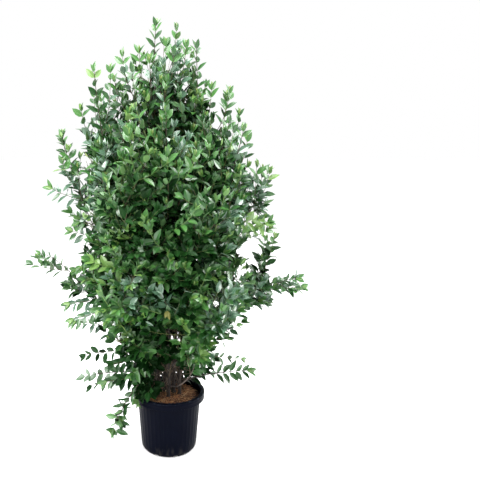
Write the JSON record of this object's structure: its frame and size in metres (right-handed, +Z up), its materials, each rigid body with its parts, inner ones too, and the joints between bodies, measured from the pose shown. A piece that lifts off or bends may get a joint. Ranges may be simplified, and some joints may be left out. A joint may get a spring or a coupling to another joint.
{
  "type": "potted privet",
  "caption": "Tall many-stemmed leafy shrub with paired pointed leaves, growing in a round nursery pot with a rolled rim.",
  "frame": {"origin": "centre of the pot's flat underside, on the ground that the pot stands on", "axes": "+Z up, -Y towards someone who faces the front of the plant, +X to their right"},
  "size_m": [1.2004, 0.956, 1.8755],
  "materials": {
    "pot_plastic": "black moulded plastic with a slight navy tint and a soft sheen",
    "potting_bark": "loose fibrous bark mulch, rusty brown, matt",
    "bark": "thin grey-brown bark with pale pores",
    "privet_leaf": "glossy dark green upper side, paler under side"
  },
  "bodies": {
    "root": {"pot": "pot_plastic", "root_ball": "potting_bark", "stem_top_1": "bark", "stem_top_2": "bark", "stem_top_3": "bark", "stem_shoulder_1": "bark", "stem_shoulder_2": "bark", "stem_shoulder_3": "bark", "stem_shoulder_4": "bark", "stem_shoulder_5": "bark", "stem_shoulder_6": "bark", "bough_upper_1": "bark", "bough_upper_2": "bark", "bough_upper_3": "bark", "bough_upper_4": "bark", "bough_upper_5": "bark", "bough_upper_6": "bark", "bough_inner_1": "bark", "bough_inner_2": "bark", "bough_middle_1": "bark", "bough_middle_2": "bark", "bough_middle_3": "bark", "bough_middle_4": "bark", "bough_middle_5": "bark", "bough_middle_6": "bark", "bough_skirt_1": "bark", "bough_skirt_2": "bark", "bough_skirt_3": "bark", "bough_skirt_4": "bark", "bough_skirt_5": "bark", "bough_skirt_6": "bark", "foliage_top_1": "privet_leaf", "foliage_top_2": "privet_leaf", "foliage_top_3": "privet_leaf", "foliage_shoulder_1": "privet_leaf", "foliage_shoulder_2": "privet_leaf", "foliage_shoulder_3": "privet_leaf", "foliage_shoulder_4": "privet_leaf", "foliage_shoulder_5": "privet_leaf", "foliage_shoulder_6": "privet_leaf", "foliage_upper_1": "privet_leaf", "foliage_upper_2": "privet_leaf", "foliage_upper_3": "privet_leaf", "foliage_upper_4": "privet_leaf", "foliage_upper_5": "privet_leaf", "foliage_upper_6": "privet_leaf", "foliage_inner_1": "privet_leaf", "foliage_inner_2": "privet_leaf", "foliage_middle_1": "privet_leaf", "foliage_middle_2": "privet_leaf", "foliage_middle_3": "privet_leaf", "foliage_middle_4": "privet_leaf", "foliage_middle_5": "privet_leaf", "foliage_middle_6": "privet_leaf", "foliage_skirt_1": "privet_leaf", "foliage_skirt_2": "privet_leaf", "foliage_skirt_3": "privet_leaf", "foliage_skirt_4": "privet_leaf", "foliage_skirt_5": "privet_leaf", "foliage_skirt_6": "privet_leaf"}
  },
  "joints": []
}
